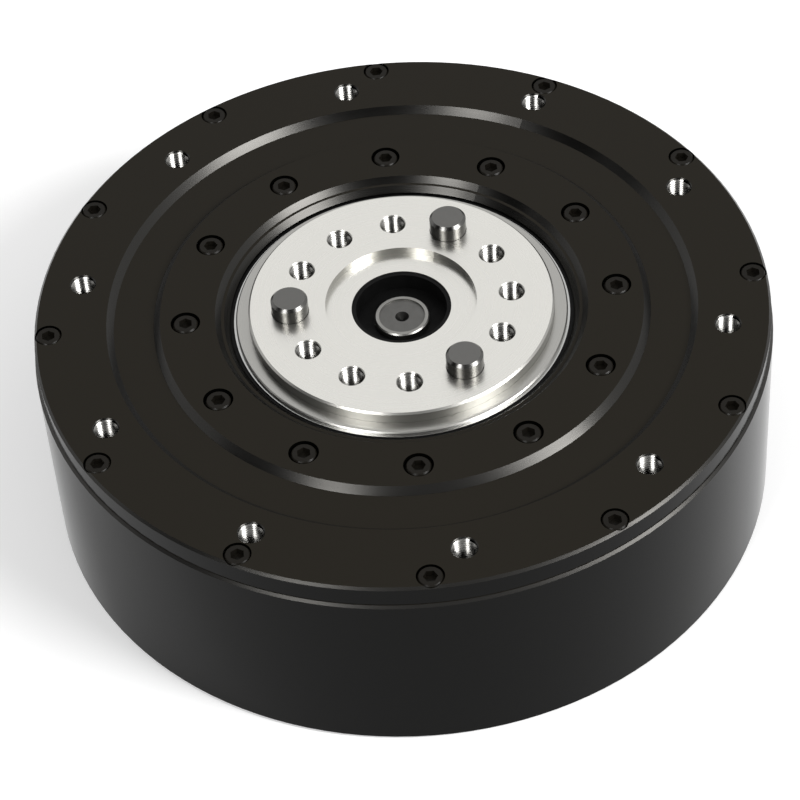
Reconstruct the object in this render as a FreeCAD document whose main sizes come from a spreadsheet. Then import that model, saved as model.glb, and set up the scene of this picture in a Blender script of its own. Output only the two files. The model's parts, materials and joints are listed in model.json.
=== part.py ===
# Robot joint actuator: a flat inner-rotor motor whose planetary reducer sits inside the rotor.
# Units are millimetres. The origin is the centre of the rear face and +Z runs along the output axis.
# +X passes through one of the three output pins.

import math
import os
import re

import FreeCAD
import Part
import Sketcher

# Angles in degrees, and numbers of repeats that the design fixes
TURN = 360
PLANETS = 3
PLANET_STEP = TURN / PLANETS
PILLAR_ANGLE = PLANET_STEP / 2
HOLE_STEP = 30
BOARD_SCREW_ANGLE = 45
TERMINAL_ANGLE = 15
HEXAGON_SIDES = 6

# Tooth proportions of a standard involute gear, in modules
TOOTH_PRESSURE_ANGLE = math.radians(20)
TIP_HEIGHT = 1.0
ROOT_DEPTH = 1.25

# Proportions of a crown cage, in radii of its balls
CAGE_BACK = 1.45
CAGE_FRONT = 0.3
CAGE_HALF_WIDTH = 0.3
CAGE_POCKET = 1.35

# Driving dimensions, each written once
SIZES = {
    # casing
    "body_radius": 60.0,
    "barrel_height": 32.7,
    "barrel_wall": 4.5,
    "edge_break": 0.4,
    "rim_chamfer": 0.4,
    "stator_ledge": 1.2,
    "web_thickness": 4.6,
    "web_height": 11.0,
    "rear_rim": 2.5,
    "electronics_wall": 4.0,
    "rear_cover_thickness": 2.5,
    # front cover and bearing cap
    "plate_thickness": 3.8,
    "plate_step": 0.4,
    "spigot_depth": 4.2,
    "spigot_width": 5.4,
    "spigot_gap": 0.1,
    "cover_web": 5.1,
    "rim_land": 11.7,
    "groove_depth": 1.1,
    "cap_radius": 40.3,
    "cap_land": 7.8,
    "cap_thickness": 4.0,
    "cap_chamfer": 0.9,
    "cap_ledge": 0.5,
    "seal_cover": 2.95,
    "tube_wall": 3.0,
    "tube_reach": 16.0,
    # mounting holes
    "mount_inset": 6.85,
    "mount_count": 10.0,
    "mount_hole": 2.0,
    "mount_depth": 7.0,
    "thread_chamfer": 0.15,
    "output_hole": 2.0,
    "output_depth": 8.0,
    # fasteners
    "screw_radius": 1.25,
    "screw_head": 2.0,
    "screw_head_height": 1.9,
    "screw_length": 8.0,
    "cap_screw_length": 6.0,
    "screw_key": 2.0,
    "screw_socket": 1.1,
    "screw_count": 12.0,
    "outer_head_gap": 0.2,
    "outer_screw_inset": 2.3,
    "outer_head_depth": 2.0,
    "cap_head_gap": 0.4,
    "cap_screw_inset": 5.25,
    "cap_head_depth": 2.0,
    "flat_head": 2.35,
    "flat_head_height": 1.2,
    "flat_head_sink": 0.1,
    "flat_head_socket": 0.8,
    "rear_screw_inset": 5.5,
    "rear_screw_length": 6.0,
    "rear_screw_count": 6.0,
    "post_radius": 3.0,
    "small_screw_radius": 1.0,
    "small_screw_head": 1.9,
    "small_screw_head_height": 1.2,
    "small_screw_length": 4.0,
    # clearances
    "seat_gap": 0.02,
    "running_gap": 0.04,
    "turning_gap": 0.8,
    # reducer
    "sun_teeth": 15.0,
    "tooth_play": 0.08,
    "ring_wall": 5.5,
    "ring_start": 1.0,
    "ring_margin": 0.4,
    "lock_pin_radius": 1.0,
    "lock_pin_count": 6.0,
    "pin_radius": 3.0,
    "axle_radius": 2.7,
    "pin_stand": 2.9,
    "pin_chamfer": 0.45,
    "pin_hole_chamfer": 0.35,
    "bush_wall": 1.2,
    "washer_radius": 6.0,
    "washer_thickness": 0.5,
    "carrier_land": 0.7,
    "carrier_thickness": 2.2,
    "carrier_bore": 7.6,
    "pillar_radius": 5.0,
    "pillar_gap": 1.7,
    "pillar_overhang": 0.7,
    "carrier_screw_radius": 1.5,
    "carrier_screw_head": 2.8,
    "carrier_screw_head_height": 1.5,
    "carrier_screw_length": 7.0,
    # output flange
    "flange_step": 0.2,
    "flange_stand": 0.6,
    "flange_chamfer": 0.3,
    "recess_land": 5.7,
    "recess_depth": 1.3,
    "output_bore": 8.1,
    "shoulder_step": 1.8,
    "shoulder_height": 1.7,
    "clamp_ring_width": 2.15,
    "clamp_ring_height": 0.6,
    # output bearing
    "output_bearing_section": 7.5,
    "output_bearing_width": 7.0,
    "output_bearing_sink": 2.0,
    "output_ball": 2.0,
    "output_ball_count": 24.0,
    "ring_section": 2.3,
    "seal_thickness": 0.8,
    "seal_sink": 0.2,
    # sun shaft bearings
    "shaft_radius": 4.5,
    "shaft_end_depth": 2.7,
    "shaft_chamfer": 0.2,
    "shaft_rim": 0.75,
    "shaft_recess_depth": 0.3,
    "centre_drill": 1.1,
    "sun_bearing_radius": 8.5,
    "sun_bearing_width": 5.0,
    "sun_bearing_sink": 3.8,
    "sun_ball": 1.2,
    "sun_ball_count": 9.0,
    "sun_ring_section": 1.0,
    "shaft_seal_thickness": 0.6,
    "shaft_seal_wall": 0.7,
    "shaft_seal_sink": 0.2,
    "rear_journal": 7.5,
    "rear_bearing_radius": 10.5,
    "rear_bearing_width": 4.0,
    "rear_bearing_lip": 1.2,
    "rear_ball": 0.8,
    "rear_ball_count": 16.0,
    "rear_ring_section": 0.9,
    "race_gap": 0.08,
    # rotor
    "hub_boss_radius": 8.3,
    "hub_boss_height": 0.6,
    "hub_flange_radius": 15.0,
    "hub_flange_height": 1.4,
    "hub_pilot": 8.2,
    "hub_screw_circle": 11.6,
    "hub_screw_count": 6.0,
    "hub_screw_length": 2.9,
    "rotor_disc": 1.8,
    "rotor_wall": 2.2,
    "rotor_headroom": 2.5,
    "rotor_window": 6.0,
    "rotor_window_inset": 12.32,
    "rotor_window_count": 8.0,
    "magnet_thickness": 2.0,
    "magnet_overhang": 0.7,
    "magnet_lift": 1.7,
    "magnet_count": 28.0,
    "magnet_spacing": 0.6,
    "encoder_magnet_radius": 3.0,
    "encoder_magnet_height": 2.5,
    # stator
    "air_gap": 0.5,
    "stator_start": 16.8,
    "stator_yoke": 3.5,
    "slot_depth": 5.76,
    "tooth_tip": 1.2,
    "tooth_width": 5.0,
    "slot_count": 24.0,
    "slot_opening": 2.4,
    "coil_side": 2.4,
    "coil_end": 1.2,
    "coil_headroom": 0.3,
    "coil_gap": 0.2,
    "terminal_radius": 0.9,
    "terminal_inset": 2.98,
    "terminal_play": 0.6,
    "phase_count": 3.0,
    # electronics
    "board_gap": 1.0,
    "board_thickness": 1.6,
    "board_pad_radius": 2.6,
    "board_pad_height": 0.6,
    "board_screw_inset": 5.0,
    "board_screw_count": 4.0,
    "chip_thickness": 1.0,
    "encoder_chip_side": 5.0,
    "encoder_chip_height": 0.9,
    "controller_side": 9.0,
    "controller_inset": 28.0,
    "power_stage_length": 6.0,
    "power_stage_width": 5.0,
    "power_stage_inset": 15.0,
    "power_stage_count": 6.0,
    "capacitor_radius": 2.2,
    "capacitor_height": 1.5,
    "capacitor_inset": 24.0,
    "socket_inset": 11.0,
    "socket_spread": 14.0,
    "socket_end": 0.4,
    "socket_wall": 0.8,
    "power_socket_length": 11.0,
    "signal_socket_length": 7.5,
    "socket_width": 5.6,
    "socket_floor": 1.0,
    "contact_radius": 0.5,
    "contact_spread": 0.22,
    "window_gap": 0.3,
}

# Places and sizes worked out from the driving dimensions
DERIVED = {
    "front_face": "barrel_height + plate_thickness",
    "plate_radius": "body_radius - plate_step",
    "motor_bore": "body_radius - barrel_wall",
    "rebate_radius": "body_radius - rear_rim",
    "web_bottom": "web_height - web_thickness",
    "spigot_bottom": "barrel_height - spigot_depth",
    "spigot_radius": "motor_bore - spigot_gap",
    "groove_radius": "plate_radius - rim_land",
    "groove_floor": "front_face - groove_depth",
    "cover_bottom": "groove_floor - cover_web",
    "cap_floor": "front_face - cap_thickness",
    "cap_bore": "output_bearing_bore + seal_cover",
    "cap_screw_circle": "cap_radius - cap_screw_inset",
    "mount_circle": "plate_radius - mount_inset",
    "outer_screw_circle": "plate_radius - outer_screw_inset",
    "rear_screw_circle": "rebate_radius - rear_screw_inset",
    "outer_head_pocket": "screw_head + outer_head_gap",
    "cap_head_pocket": "screw_head + cap_head_gap",
    "screw_hole": "screw_radius + seat_gap",
    "stator_radius": "motor_bore - seat_gap",
    "slot_bottom": "stator_radius - stator_yoke",
    "slot_top": "slot_bottom - slot_depth",
    "stator_bore": "slot_top - tooth_tip",
    "stator_top": "spigot_bottom - coil_headroom - coil_end - coil_gap",
    "stator_stack": "stator_top - stator_start",
    "terminal_circle": "slot_bottom - terminal_inset",
    "magnet_outside": "stator_bore - air_gap",
    "rotor_outside": "magnet_outside - magnet_thickness",
    "rotor_inside": "rotor_outside - rotor_wall",
    "rotor_window_circle": "rotor_inside - rotor_window_inset",
    "tube_radius": "rotor_inside - turning_gap",
    "tube_bore": "tube_radius - tube_wall",
    "ring_radius": "tube_bore - seat_gap",
    "ring_root": "ring_radius - ring_wall",
    "planet_teeth": "2 * sun_teeth",
    "ring_teeth": "sun_teeth + 2 * planet_teeth",
    "gear_module": f"ring_root / (ring_teeth / 2 + {ROOT_DEPTH})",
    "ring_tip": f"gear_module * (ring_teeth / 2 - {TIP_HEIGHT})",
    "sun_root": f"gear_module * (sun_teeth / 2 - {ROOT_DEPTH})",
    "planet_circle": "gear_module * (sun_teeth + planet_teeth) / 2",
    "pillar_reach": "min(ring_tip - pillar_gap; shoulder_radius + pillar_overhang)",
    "pillar_circle": "pillar_reach - pillar_radius",
    "carrier_radius": "pillar_circle + carrier_screw_head + carrier_land",
    "flange_face": "front_face + flange_stand",
    "flange_radius": "output_bearing_bore - flange_step",
    "recess_radius": "planet_circle - recess_land",
    "recess_floor": "flange_face - recess_depth",
    "output_bearing_top": "front_face - output_bearing_sink",
    "output_bearing_bottom": "output_bearing_top - output_bearing_width",
    "output_bearing_middle": "output_bearing_top - output_bearing_width / 2",
    "output_bearing_radius": "cap_radius - cap_land",
    "output_bearing_bore": "output_bearing_radius - output_bearing_section",
    "output_bearing_seat": "output_bearing_radius + seat_gap",
    "output_ball_circle": "output_bearing_bore + output_bearing_section / 2",
    "bearing_shelf": "output_bearing_radius - ring_section / 2",
    "shoulder_radius": "output_bearing_bore + shoulder_step",
    "flange_bottom": "output_bearing_bottom - shoulder_height",
    "sun_bearing_top": "recess_floor - sun_bearing_sink",
    "sun_bearing_bottom": "sun_bearing_top - sun_bearing_width",
    "sun_bearing_middle": "sun_bearing_top - sun_bearing_width / 2",
    "sun_ball_circle": "(shaft_radius + sun_bearing_radius) / 2",
    "shaft_end": "front_face - shaft_end_depth",
    "shaft_recess": "shaft_radius - shaft_rim",
    "shaft_recess_floor": "shaft_end - shaft_recess_depth",
    "rear_bearing_bottom": "web_height - rear_bearing_width",
    "rear_bearing_middle": "web_height - rear_bearing_width / 2",
    "rear_ball_circle": "(rear_journal + rear_bearing_radius) / 2",
    "shaft_bottom": "rear_bearing_bottom + hub_boss_height",
    "hub_flange_bottom": "web_height + hub_boss_height",
    "disc_bottom": "hub_flange_bottom + hub_flange_height",
    "disc_top": "disc_bottom + rotor_disc",
    "rotor_top": "cover_bottom - rotor_headroom",
    "magnet_bottom": "disc_top + magnet_lift",
    "magnet_top": "stator_top + magnet_overhang",
    "carrier_bottom": "disc_top + turning_gap",
    "carrier_top": "carrier_bottom + carrier_thickness",
    "planet_bottom": "carrier_top + washer_thickness + running_gap",
    "planet_top": "flange_bottom - washer_thickness - running_gap",
    "ring_bottom": "planet_bottom - ring_start",
    "ring_top": "planet_top + ring_margin",
    "pin_top": "flange_face + pin_stand",
    "bush_bore": "axle_radius + running_gap",
    "bush_radius": "bush_bore + bush_wall",
    "board_radius": "rear_screw_circle - post_radius - board_gap",
    "board_screw_circle": "board_radius - board_screw_inset",
    "power_stage_circle": "board_radius - power_stage_inset",
    "capacitor_circle": "board_radius - capacitor_inset",
    "controller_place": "board_radius - controller_inset",
    "socket_place": "board_radius - socket_inset",
    "board_top": "web_bottom - board_pad_height",
    "board_bottom": "board_top - board_thickness",
    "chip_bottom": "board_bottom - chip_thickness",
}

# Circle, face, shank, head, head height and length of the two kinds of countersunk screws inside
CARRIER_SCREW = (
    "pillar_circle",
    "carrier_bottom + flat_head_sink",
    "carrier_screw_radius",
    "carrier_screw_head",
    "carrier_screw_head_height",
    "carrier_screw_length",
)
HUB_SCREW = (
    "hub_screw_circle",
    "disc_top - flat_head_sink",
    "screw_radius",
    "flat_head",
    "flat_head_height",
    "hub_screw_length",
)

# Length of each socket and its place across the rear cover
SOCKETS = {
    "power_socket": ("power_socket_length", "0"),
    "signal_socket_1": ("signal_socket_length", "socket_spread"),
    "signal_socket_2": ("signal_socket_length", "-socket_spread"),
}

doc = FreeCAD.newDocument("joint_actuator")
sheet = doc.addObject("Spreadsheet::Sheet", "Sizes")
for row, (name, number) in enumerate(SIZES.items(), start=1):
    sheet.set(f"A{row}", name)
    sheet.set(f"B{row}", str(number))
    sheet.setAlias(f"B{row}", name)
doc.recompute()

nodes = []


def ex(text):
    """Write a formula of plain names as an expression on the sheet's cells."""

    def swap(match):
        word = match.group(0)
        if word in DERIVED:
            return "(" + ex(DERIVED[word]) + ")"
        if word in SIZES:
            return "Sizes." + word
        return word

    return re.sub(r"[a-z_]+", swap, str(text))


def value(text):
    """The number that a formula of plain names gives."""
    return float(sheet.evalExpression(ex(text)))


def bind(thing, prop, text):
    thing.setExpression(prop, ex(text))


def keep(thing, label):
    """List a finished piece under the name of its file."""
    thing.Label = label
    nodes.append(thing)
    return thing


def origin(body, role):
    return next(f for f in body.Origin.OriginFeatures if f.Role == role)


def new_body(label):
    body = doc.addObject("PartDesign::Body", label)
    body.AllowCompound = True
    return keep(body, label)


def flat_sketch(body, height, reach="0", angle=0):
    """A level sketch. Its own X axis points away from the output axis at the given angle."""
    sketch = body.newObject("Sketcher::SketchObject", body.Name + "_level")
    sketch.AttachmentSupport = [(origin(body, "XY_Plane"), "")]
    sketch.MapMode = "FlatFace"
    turn = FreeCAD.Rotation(FreeCAD.Vector(0, 0, 1), angle)
    sketch.AttachmentOffset = FreeCAD.Placement(FreeCAD.Vector(), turn)
    bind(sketch, "AttachmentOffset.Base.x", f"({reach}) * cos({angle})")
    bind(sketch, "AttachmentOffset.Base.y", f"({reach}) * sin({angle})")
    bind(sketch, "AttachmentOffset.Base.z", height)
    return sketch


def upright_sketch(body, reach="0", angle=0):
    """A sketch through the output axis, or through a parallel axis. Its own Y axis is +Z."""
    sketch = body.newObject("Sketcher::SketchObject", body.Name + "_upright")
    sketch.AttachmentSupport = [(origin(body, "XZ_Plane"), "")]
    sketch.MapMode = "FlatFace"
    turn = FreeCAD.Rotation(FreeCAD.Vector(0, 1, 0), angle)
    sketch.AttachmentOffset = FreeCAD.Placement(FreeCAD.Vector(), turn)
    bind(sketch, "AttachmentOffset.Base.x", f"({reach}) * cos({angle})")
    bind(sketch, "AttachmentOffset.Base.z", f"-({reach}) * sin({angle})")
    return sketch


def facing_sketch(body, reach, height):
    """A sketch square to +X, centred at a distance and a height. Its own axes are +Y and +Z."""
    sketch = body.newObject("Sketcher::SketchObject", body.Name + "_facing")
    sketch.AttachmentSupport = [(origin(body, "YZ_Plane"), "")]
    sketch.MapMode = "FlatFace"
    bind(sketch, "AttachmentOffset.Base.y", height)
    bind(sketch, "AttachmentOffset.Base.z", reach)
    return sketch


def corner_limits(first, corners):
    """Limits that hold each corner of an outline at its two formulas."""
    limits = []
    names = []
    for number, corner in enumerate(corners, start=first):
        for axis, line, text in (("X", -2, corner[0]), ("Y", -1, corner[1])):
            if text == "0":
                limits.append(Sketcher.Constraint("PointOnObject", number, 1, line))
                names.append(None)
                continue
            limits.append(Sketcher.Constraint("Distance" + axis, -1, 1, number, 1, value(text)))
            names.append((f"corner_{number}_{axis.lower()}", text))
    return limits, names


def outline(sketch, corners):
    """A closed outline of straight edges through corners given as pairs of formulas."""
    first = sketch.GeometryCount
    count = len(corners)
    points = [FreeCAD.Vector(value(x), value(y), 0) for x, y in corners]
    edges = [Part.LineSegment(points[i], points[(i + 1) % count]) for i in range(count)]
    sketch.addGeometry(edges, False)
    joins = [
        Sketcher.Constraint("Coincident", first + i, 2, first + (i + 1) % count, 1)
        for i in range(count)
    ]
    sketch.addConstraint(joins)
    limits, names = corner_limits(first, corners)
    numbers = sketch.addConstraint(limits)
    for number, name in zip(numbers, names):
        if name:
            sketch.renameConstraint(number, name[0])
            bind(sketch, "Constraints." + name[0], name[1])
    return sketch


def box_corners(length, width):
    """Corners of a rectangle centred on the sketch."""
    half_length = f"({length}) / 2"
    half_width = f"({width}) / 2"
    return [
        ("-" + half_length, "-" + half_width),
        (half_length, "-" + half_width),
        (half_length, half_width),
        ("-" + half_length, half_width),
    ]


def hexagon_corners(across_flats):
    """Corners of a hexagon centred on the sketch."""
    reach = f"({across_flats}) / sqrt(3)"
    angles = [TURN / HEXAGON_SIDES * (side + 0.5) for side in range(HEXAGON_SIDES)]
    return [(f"{reach} * cos({angle})", f"{reach} * sin({angle})") for angle in angles]


def disc(sketch, radius, place_x="0", place_y="0"):
    """A circle in a sketch."""
    centre = FreeCAD.Vector(value(place_x), value(place_y), 0)
    number = sketch.addGeometry(
        Part.Circle(centre, FreeCAD.Vector(0, 0, 1), value(radius)), False
    )
    size = sketch.addConstraint(Sketcher.Constraint("Radius", number, value(radius)))
    sketch.renameConstraint(size, f"radius_{number}")
    bind(sketch, f"Constraints.radius_{number}", radius)
    for axis, line, text in (("X", -2, place_x), ("Y", -1, place_y)):
        if text == "0":
            sketch.addConstraint(Sketcher.Constraint("PointOnObject", number, 3, line))
            continue
        place = sketch.addConstraint(
            Sketcher.Constraint("Distance" + axis, -1, 1, number, 3, value(text))
        )
        sketch.renameConstraint(place, f"place_{number}_{axis.lower()}")
        bind(sketch, f"Constraints.place_{number}_{axis.lower()}", text)
    return sketch


def turn_about(body, sketch, kind="Revolution"):
    """Turn a sketch through a full circle about its own Y axis."""
    turn = body.newObject("PartDesign::" + kind, body.Name + "_turn")
    turn.Profile = sketch
    turn.ReferenceAxis = (sketch, ["V_Axis"])
    turn.Angle = TURN
    return turn


def turned(label, corners, reach="0", angle=0):
    """A piece turned from an outline of (radius, height) corners."""
    body = new_body(label)
    turn = turn_about(body, outline(upright_sketch(body, reach, angle), corners))
    return body, turn


def raise_pad(body, sketch, height):
    pad = body.newObject("PartDesign::Pad", body.Name + "_pad")
    pad.Profile = sketch
    bind(pad, "Length", height)
    return pad


def cut_down(body, sketch, depth, upwards=False):
    """Cut a sketch downwards to a depth, or upwards."""
    pocket = body.newObject("PartDesign::Pocket", body.Name + "_cut")
    pocket.Profile = sketch
    pocket.Reversed = upwards
    bind(pocket, "Length", depth)
    return pocket


def spread(body, features, count):
    """Repeat features evenly about the output axis."""
    pattern = body.newObject("PartDesign::PolarPattern", body.Name + "_spread")
    pattern.Originals = features
    pattern.Axis = (origin(body, "Z_Axis"), [""])
    pattern.Angle = TURN
    bind(pattern, "Occurrences", count)
    body.Tip = pattern
    return pattern


def drill(body, radius, top, depth, circle, count, angle=0):
    """Round holes cut downwards from a height, spread evenly about the output axis."""
    sketch = disc(flat_sketch(body, top, circle, angle), radius)
    hole = cut_down(body, sketch, depth)
    spread(body, [hole], count)


def counter_turn(body, corners, circle, count, angle=0):
    """Turned hollows, such as chamfers and countersinks, spread evenly about the output axis."""
    sketch = outline(upright_sketch(body, circle, angle), corners)
    groove = turn_about(body, sketch, "Groove")
    spread(body, [groove], count)


def mouth_chamfer(body, radius, chamfer, top, circle, count, angle=0):
    """Chamfers at the mouths of holes."""
    wide = f"{radius} + {chamfer}"
    low = f"{top} - {chamfer}"
    corners = [("0", low), (radius, low), (wide, top), ("0", top)]
    counter_turn(body, corners, circle, count, angle)


def socket_screws(label, circle, seat, length, count):
    """Cap screws with hexagon sockets whose heads bear at a height."""
    top = f"{seat} + screw_head_height"
    corners = [
        ("0", f"{seat} - {length}"),
        ("screw_radius", f"{seat} - {length}"),
        ("screw_radius", seat),
        ("screw_head", seat),
        ("screw_head", f"{top} - edge_break / 2"),
        ("screw_head - edge_break / 2", top),
        ("0", top),
    ]
    body, turn = turned(label, corners, circle)
    sketch = outline(flat_sketch(body, top, circle), hexagon_corners("screw_key"))
    socket = cut_down(body, sketch, "screw_socket")
    spread(body, [turn, socket], count)


def flat_screws(label, circle, face, radius, head, head_height, length, count, upwards=True, angle=0):
    """Countersunk screws driven upwards or downwards from a face."""
    sign = "+" if upwards else "-"
    corners = [
        ("0", face),
        (head, face),
        (radius, f"{face} {sign} {head_height}"),
        (radius, f"{face} {sign} {length}"),
        ("0", f"{face} {sign} {length}"),
    ]
    body, turn = turned(label, corners, circle, angle)
    sketch = outline(flat_sketch(body, face, circle, angle), hexagon_corners("screw_key"))
    socket = cut_down(body, sketch, "flat_head_socket", upwards)
    spread(body, [turn, socket], count)


def countersinks(body, circle, face, radius, head, head_height, length, count, upwards=True, angle=0):
    """Countersunk holes for flat screws, with the fit's clearance all round."""
    sign = "+" if upwards else "-"
    back = "-" if upwards else "+"
    corners = [
        ("0", f"{face} {back} flat_head_sink"),
        (f"{head} + seat_gap", f"{face} {back} flat_head_sink"),
        (f"{head} + seat_gap", face),
        (f"{radius} + seat_gap", f"{face} {sign} {head_height}"),
        (f"{radius} + seat_gap", f"{face} {sign} {length}"),
        ("0", f"{face} {sign} {length}"),
    ]
    counter_turn(body, corners, circle, count, angle)


def block(label, height, length, width, tall, reach="0", across="0"):
    """A rectangular piece on a level sketch, centred at a place."""
    body = new_body(label)
    sketch = flat_sketch(body, height, reach)
    bind(sketch, "AttachmentOffset.Base.y", across)
    outline(sketch, box_corners(length, width))
    raise_pad(body, sketch, tall)
    return body


def involute_angle(angle):
    return math.tan(angle) - angle


def tooth_half_angle(radius, teeth, module, thinning):
    """Half of the angle that a tooth fills at a radius."""
    pitch = module * teeth / 2
    base = pitch * math.cos(TOOTH_PRESSURE_ANGLE)
    half = math.pi / 2 / teeth - thinning / 2 / pitch + involute_angle(TOOTH_PRESSURE_ANGLE)
    if radius <= base:
        return half
    return half - involute_angle(math.acos(base / radius))


def polar(radius, angle):
    return FreeCAD.Vector(radius * math.cos(angle), radius * math.sin(angle), 0)


def gear_face(teeth, module, thinning, inside=False, start=0.0):
    """The outline of an involute gear as a face. Each flank is one arc through three involute points."""
    pitch = module * teeth / 2
    sign = -1 if inside else 1
    tip = pitch + sign * TIP_HEIGHT * module
    root = pitch - sign * ROOT_DEPTH * module
    half_step = math.pi / teeth
    low = max(min(tip, root), pitch * math.cos(TOOTH_PRESSURE_ANGLE))
    high = max(tip, root)
    middle = (low + high) / 2
    thin = -thinning if inside else thinning
    edges = []
    for number in range(teeth):
        centre = start + 2 * half_step * number
        arms = {r: tooth_half_angle(r, teeth, module, thin) for r in (low, middle, high)}
        left = [polar(r, centre - arms[r]) for r in (low, middle, high)]
        right = [polar(r, centre + arms[r]) for r in (high, middle, low)]
        edges.append(Part.Arc(*left).toShape())
        edges.append(Part.Arc(left[2], polar(high, centre), right[0]).toShape())
        edges.append(Part.Arc(*right).toShape())
        next_low = polar(low, centre + 2 * half_step - arms[low])
        inner = min(tip, root)
        if inner < low:
            foot = polar(inner, centre + arms[low])
            next_foot = polar(inner, centre + 2 * half_step - arms[low])
            edges.append(Part.makeLine(right[2], foot))
            edges.append(Part.Arc(foot, polar(inner, centre + half_step), next_foot).toShape())
            edges.append(Part.makeLine(next_foot, next_low))
        else:
            edges.append(Part.Arc(right[2], polar(low, centre + half_step), next_low).toShape())
    return Part.Face(Part.Wire(edges))


def gear_solid(label, shape):
    feature = doc.addObject("Part::Feature", label)
    feature.Shape = shape
    return feature


# Casing
def make_barrel():
    body, _ = turned("barrel", [
        ("rebate_radius", "0"),
        ("body_radius - edge_break", "0"),
        ("body_radius", "edge_break"),
        ("body_radius", "barrel_height - rim_chamfer"),
        ("body_radius - rim_chamfer", "barrel_height"),
        ("motor_bore", "barrel_height"),
        ("motor_bore", "stator_start"),
        ("motor_bore - stator_ledge", "stator_start"),
        ("motor_bore - stator_ledge", "web_height"),
        ("rear_bearing_radius + seat_gap", "web_height"),
        ("rear_bearing_radius + seat_gap", "rear_bearing_bottom"),
        ("rear_bearing_radius - rear_bearing_lip", "rear_bearing_bottom"),
        ("rear_bearing_radius - rear_bearing_lip", "web_bottom"),
        ("body_radius - electronics_wall", "web_bottom"),
        ("body_radius - electronics_wall", "rear_cover_thickness"),
        ("rebate_radius", "rear_cover_thickness"),
    ])
    posts = disc(flat_sketch(body, "rear_cover_thickness", "rear_screw_circle", HOLE_STEP), "post_radius")
    spread(body, [raise_pad(body, posts, "web_bottom - rear_cover_thickness")], "rear_screw_count")
    pads = disc(flat_sketch(body, "board_top", "board_screw_circle", BOARD_SCREW_ANGLE), "board_pad_radius")
    spread(body, [raise_pad(body, pads, "web_bottom - board_top")], "board_screw_count")
    drill(body, "screw_hole", "barrel_height", "screw_length", "outer_screw_circle", "screw_count")
    post_sketch = flat_sketch(body, "rear_cover_thickness", "rear_screw_circle", HOLE_STEP)
    post_holes = disc(post_sketch, "screw_hole")
    holes = cut_down(body, post_holes, "rear_screw_length", upwards=True)
    spread(body, [holes], "rear_screw_count")
    pad_sketch = flat_sketch(body, "board_top", "board_screw_circle", BOARD_SCREW_ANGLE)
    pad_holes = disc(pad_sketch, "small_screw_radius + seat_gap")
    spread(body, [cut_down(body, pad_holes, "small_screw_length", upwards=True)], "board_screw_count")
    drill(
        body, "terminal_radius + terminal_play", "web_height", "web_thickness",
        "terminal_circle", "phase_count", TERMINAL_ANGLE,
    )


def make_front_cover():
    body, _ = turned("front_cover", [
        ("plate_radius - edge_break / 2", "barrel_height"),
        ("plate_radius", "barrel_height + edge_break / 2"),
        ("plate_radius", "front_face - rim_chamfer"),
        ("plate_radius - rim_chamfer", "front_face"),
        ("groove_radius", "front_face"),
        ("groove_radius - groove_depth", "groove_floor"),
        ("cap_radius + seat_gap", "groove_floor"),
        ("cap_radius + seat_gap", "cap_floor"),
        ("output_bearing_seat", "cap_floor"),
        ("output_bearing_seat", "output_bearing_bottom"),
        ("bearing_shelf", "output_bearing_bottom"),
        ("bearing_shelf", "ring_top"),
        ("tube_bore", "ring_top"),
        ("tube_bore", "tube_reach"),
        ("tube_radius", "tube_reach"),
        ("tube_radius", "cover_bottom"),
        ("spigot_radius - spigot_width", "cover_bottom"),
        ("spigot_radius - spigot_width", "spigot_bottom"),
        ("spigot_radius", "spigot_bottom"),
        ("spigot_radius", "barrel_height"),
    ])
    drill(body, "mount_hole", "front_face", "mount_depth", "mount_circle", "mount_count")
    mouth_chamfer(body, "mount_hole", "thread_chamfer", "front_face", "mount_circle", "mount_count")
    drill(body, "outer_head_pocket", "front_face", "outer_head_depth", "outer_screw_circle", "screw_count")
    drill(body, "screw_hole", "front_face", "plate_thickness", "outer_screw_circle", "screw_count")
    drill(body, "screw_hole", "cap_floor", "cap_screw_length", "cap_screw_circle", "screw_count")
    drill(
        body, "lock_pin_radius + seat_gap", "ring_top", "ring_top - tube_reach",
        "tube_bore", "lock_pin_count", HOLE_STEP,
    )


def make_bearing_cap():
    body, _ = turned("bearing_cap", [
        ("cap_bore", "cap_floor"),
        ("cap_radius", "cap_floor"),
        ("cap_radius", "groove_floor"),
        ("cap_radius - groove_depth", "front_face"),
        ("cap_bore + 2 * cap_chamfer + cap_ledge", "front_face"),
        ("cap_bore + cap_chamfer + cap_ledge", "front_face - cap_chamfer"),
        ("cap_bore + cap_chamfer", "front_face - cap_chamfer"),
        ("cap_bore", "front_face - 2 * cap_chamfer"),
    ])
    clear_bearing = outline(upright_sketch(body), [
        ("0", "cap_floor"),
        ("output_bearing_seat", "cap_floor"),
        ("output_bearing_seat", "output_bearing_top"),
        ("0", "output_bearing_top"),
    ])
    turn_about(body, clear_bearing, "Groove")
    drill(body, "cap_head_pocket", "front_face", "cap_head_depth", "cap_screw_circle", "screw_count")
    drill(body, "screw_hole", "front_face", "cap_thickness", "cap_screw_circle", "screw_count")


def make_rear_cover():
    body, _ = turned("rear_cover", [
        ("0", "0"),
        ("rebate_radius - seat_gap", "0"),
        ("rebate_radius - seat_gap", "rear_cover_thickness"),
        ("0", "rear_cover_thickness"),
    ])
    countersinks(
        body, "rear_screw_circle", "flat_head_sink", "screw_radius", "flat_head",
        "flat_head_height", "rear_cover_thickness", "rear_screw_count", angle=HOLE_STEP,
    )
    for length, across in SOCKETS.values():
        sketch = flat_sketch(body, "rear_cover_thickness", "socket_place")
        bind(sketch, "AttachmentOffset.Base.y", across)
        outline(sketch, box_corners("socket_width + 2 * window_gap", f"{length} + 2 * window_gap"))
        cut_down(body, sketch, "rear_cover_thickness")


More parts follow.
